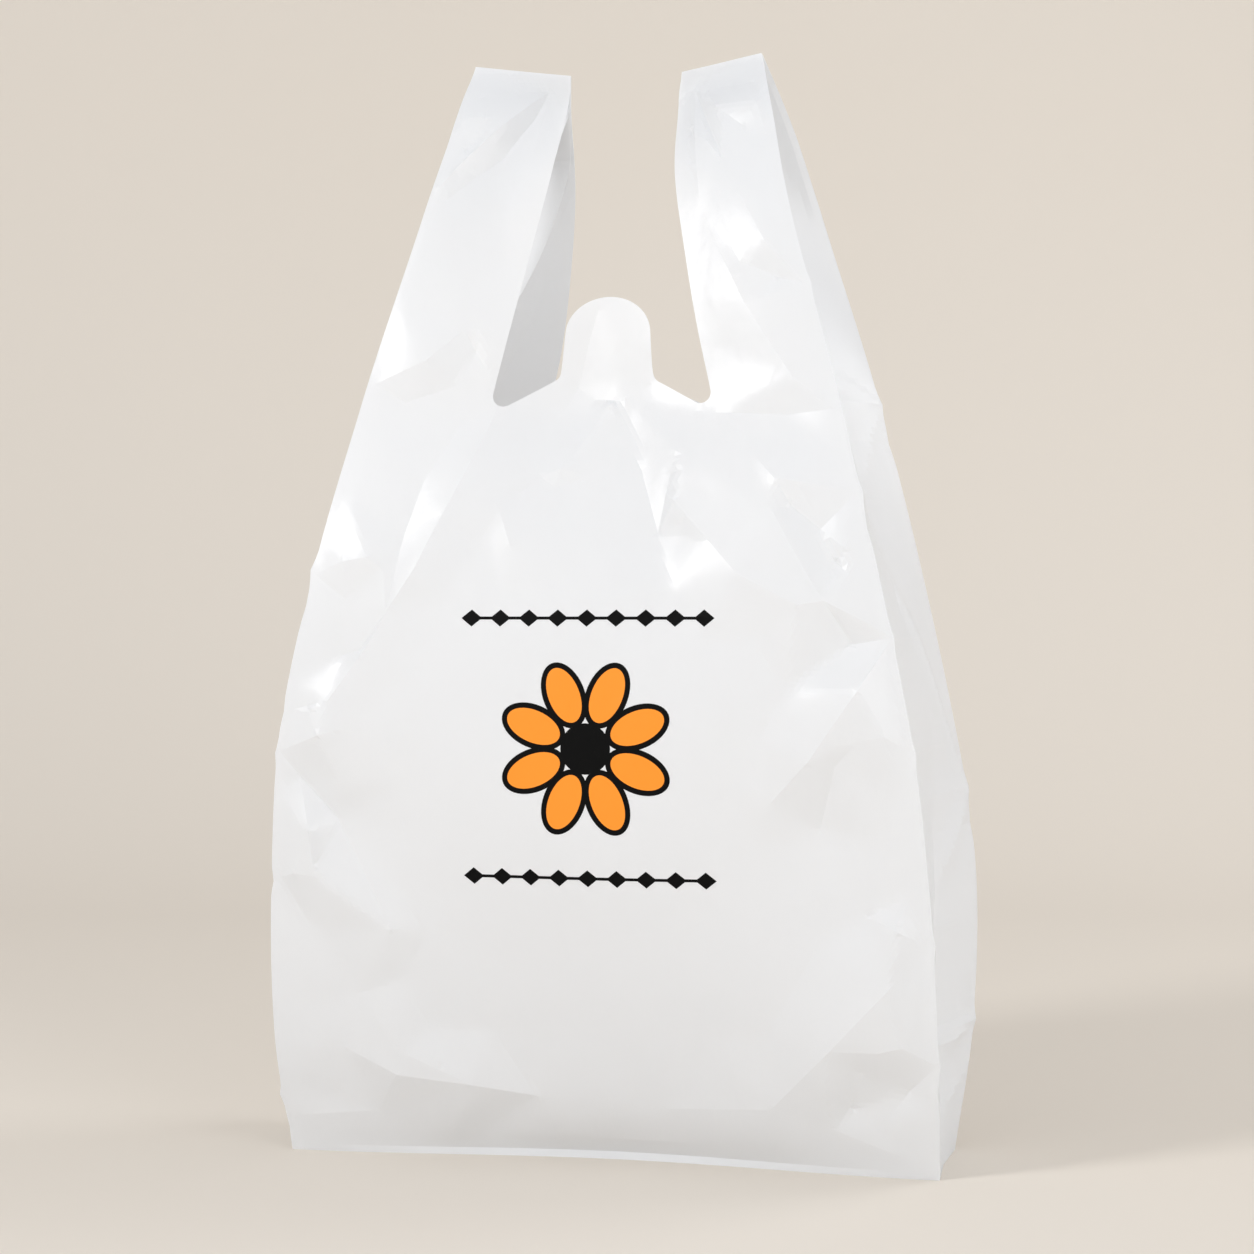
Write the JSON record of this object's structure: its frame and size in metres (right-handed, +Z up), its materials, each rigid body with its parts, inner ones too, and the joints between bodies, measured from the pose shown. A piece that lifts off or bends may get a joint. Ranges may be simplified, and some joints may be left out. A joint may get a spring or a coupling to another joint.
{
  "type": "plastic carrier bag",
  "caption": "Vest-style carrier bag of thin white glossy film, standing open on its base, with side gussets, two welded loop handles, a hanging tab at the mouth and a printed flower.",
  "frame": {"origin": "middle of the flat base, on the surface that the bag stands on", "axes": "+Z up from the base to the handles; +X to the right of someone who faces the printed front; the front faces -Y"},
  "size_m": [0.3358, 0.1611, 0.5402],
  "materials": {
    "film_white": "thin white polythene film, glossy and slightly translucent, with soft creases",
    "ink_orange": "flat orange printing ink under the film's own gloss",
    "ink_black": "flat black printing ink under the film's own gloss"
  },
  "bodies": {
    "root": {"film_bag": "film_white", "print_petal_1": "ink_orange", "print_petal_2": "ink_orange", "print_petal_3": "ink_orange", "print_petal_4": "ink_orange", "print_petal_5": "ink_orange", "print_petal_6": "ink_orange", "print_petal_7": "ink_orange", "print_petal_8": "ink_orange", "print_flower_lines": "ink_black", "print_string_lower": "ink_black", "print_string_upper": "ink_black"}
  },
  "joints": []
}
